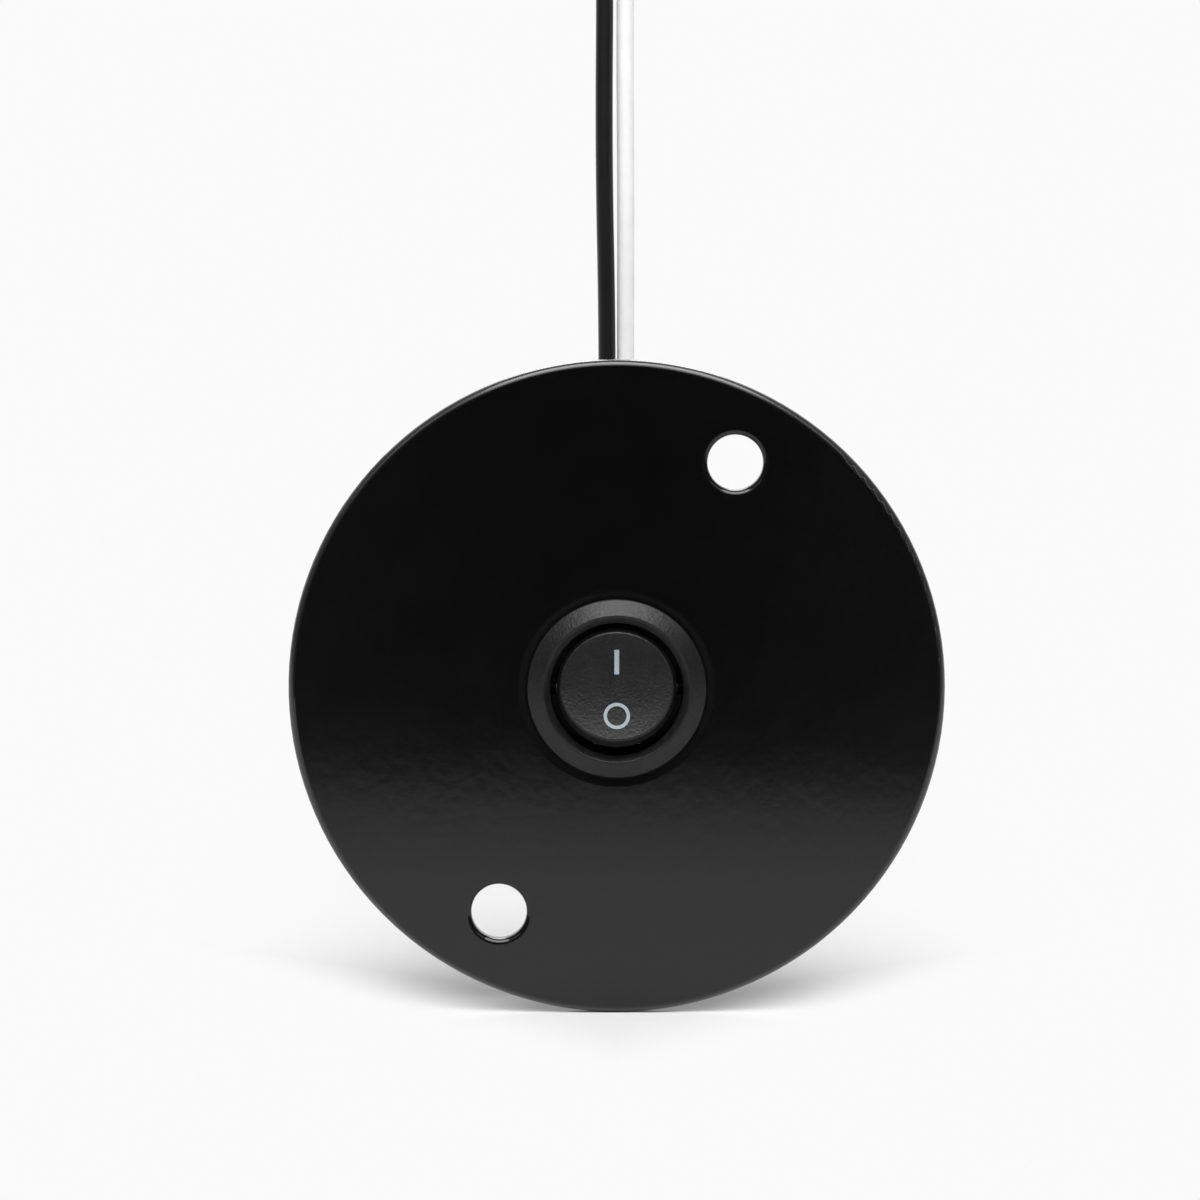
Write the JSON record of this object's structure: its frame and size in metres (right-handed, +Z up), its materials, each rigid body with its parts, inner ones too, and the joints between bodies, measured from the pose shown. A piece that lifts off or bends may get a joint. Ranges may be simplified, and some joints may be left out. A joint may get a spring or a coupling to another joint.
{
  "type": "round rocker switch on a cover plate",
  "caption": "Round black rocker switch, marked I and O, snapped into a round gloss black metal cover plate, with a black and a white lead behind.",
  "frame": {"origin": "centre of the two screw holes' circle, on the plate's rear face", "axes": "+Z up the plate, -Y out of its front, +X to the right as seen from the front"},
  "size_m": [0.0888, 0.0549, 0.1844],
  "materials": {
    "plate_coat": "gloss black powder coat",
    "black_nylon": "fine satin grain",
    "rocker_nylon": "fine matte grain",
    "white_acetal": "smooth",
    "spring_steel": "bright drawn wire",
    "plated_brass": "thin silver plate",
    "silver_alloy": "satin",
    "bare_brass": "satin",
    "sleeve_vinyl": "soft satin",
    "black_vinyl": "satin insulation",
    "white_vinyl": "satin insulation",
    "tinned_copper": "tinned strands"
  },
  "bodies": {
    "base": {"cover_plate": "plate_coat", "switch_housing": "black_nylon", "common_terminal": "plated_brass", "load_terminal": "plated_brass", "fixed_contact": "silver_alloy", "common_receptacle": "bare_brass", "load_receptacle": "bare_brass", "common_sleeve": "sleeve_vinyl", "load_sleeve": "sleeve_vinyl", "black_lead": "black_vinyl", "white_lead": "white_vinyl", "black_lead_end": "tinned_copper", "white_lead_end": "tinned_copper"},
    "rocker": {"rocker": "rocker_nylon", "plunger_spring": "spring_steel"},
    "plunger": {"plunger": "white_acetal"},
    "contact_bar": {"contact_bar": "plated_brass", "moving_contact": "silver_alloy"}
  },
  "joints": [
    {"name": "rocker_tilt", "type": "hinge", "parent": "base", "child": "rocker", "pos_m": [0, -0.001, 0], "axis": [1, 0, 0], "range_deg": [0, 18]},
    {"name": "plunger_slide", "type": "slide", "parent": "rocker", "child": "plunger", "axis": [0, -0.9877, 0.1564], "range_m": [0, 0.0008], "stiffness_N_per_m": 400, "springref_m": -0.003, "deforming": ["plunger_spring"]},
    {"name": "contact_tilt", "type": "hinge", "parent": "base", "child": "contact_bar", "pos_m": [0, 0.00705, 0], "axis": [1, 0, 0], "range_deg": [-18, 0]}
  ],
  "couplings": [
    {"joint": "contact_tilt", "follows": "rocker_tilt", "ratio": -1}
  ]
}
